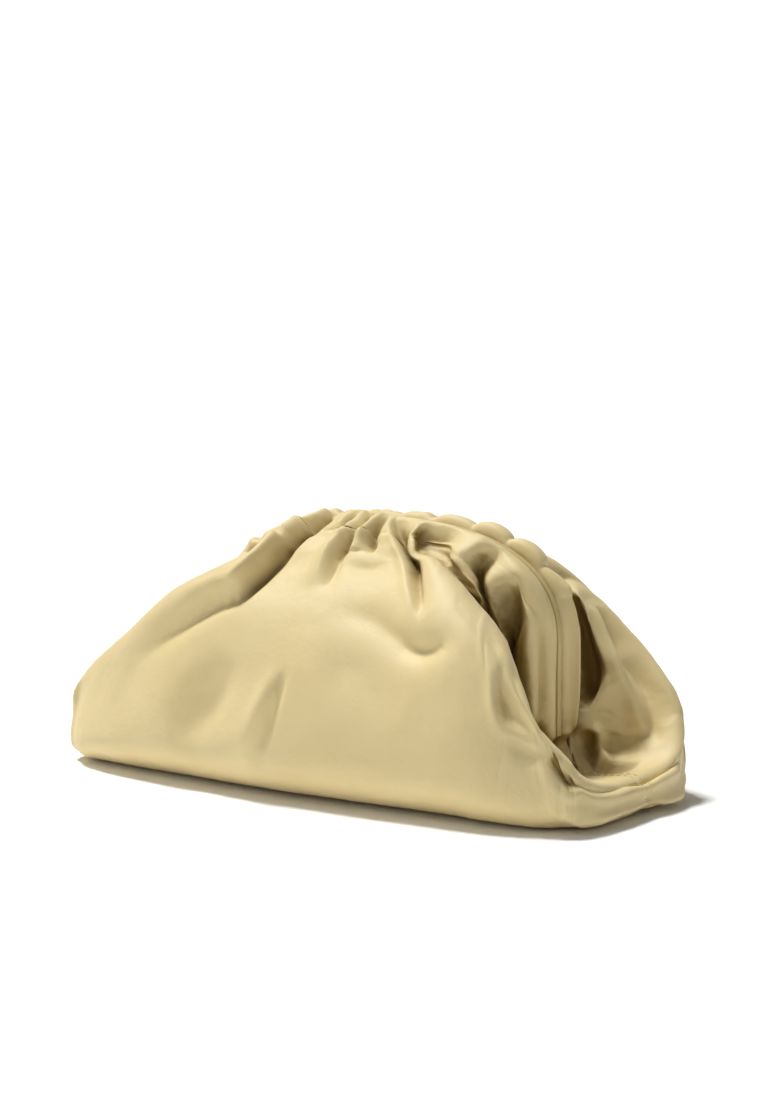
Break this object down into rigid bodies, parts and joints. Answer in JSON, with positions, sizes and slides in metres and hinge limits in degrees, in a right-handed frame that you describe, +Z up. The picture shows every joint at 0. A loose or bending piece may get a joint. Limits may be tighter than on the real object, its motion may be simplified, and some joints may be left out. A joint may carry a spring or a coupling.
{
  "type": "clutch bag",
  "caption": "Soft leather pouch gathered over an arched hinged frame, with full lobes, deep folds, open recesses at both ends and a flat base.",
  "frame": {"origin": "centre of the base, on the surface the bag stands on", "axes": "+X along the bag's length to the end whose frame arm is seen bare, -Y the front face, +Z up"},
  "size_m": [0.3695, 0.1819, 0.1564],
  "materials": {
    "calf_leather": "smooth calf with a soft satin sheen",
    "lacquered_frame": "satin lacquer in the leather's colour"
  },
  "bodies": {
    "root": {"leather_body": "calf_leather", "frame_front": "lacquered_frame", "frame_back": "lacquered_frame", "hinge_right": "lacquered_frame", "hinge_left": "lacquered_frame"}
  },
  "joints": []
}
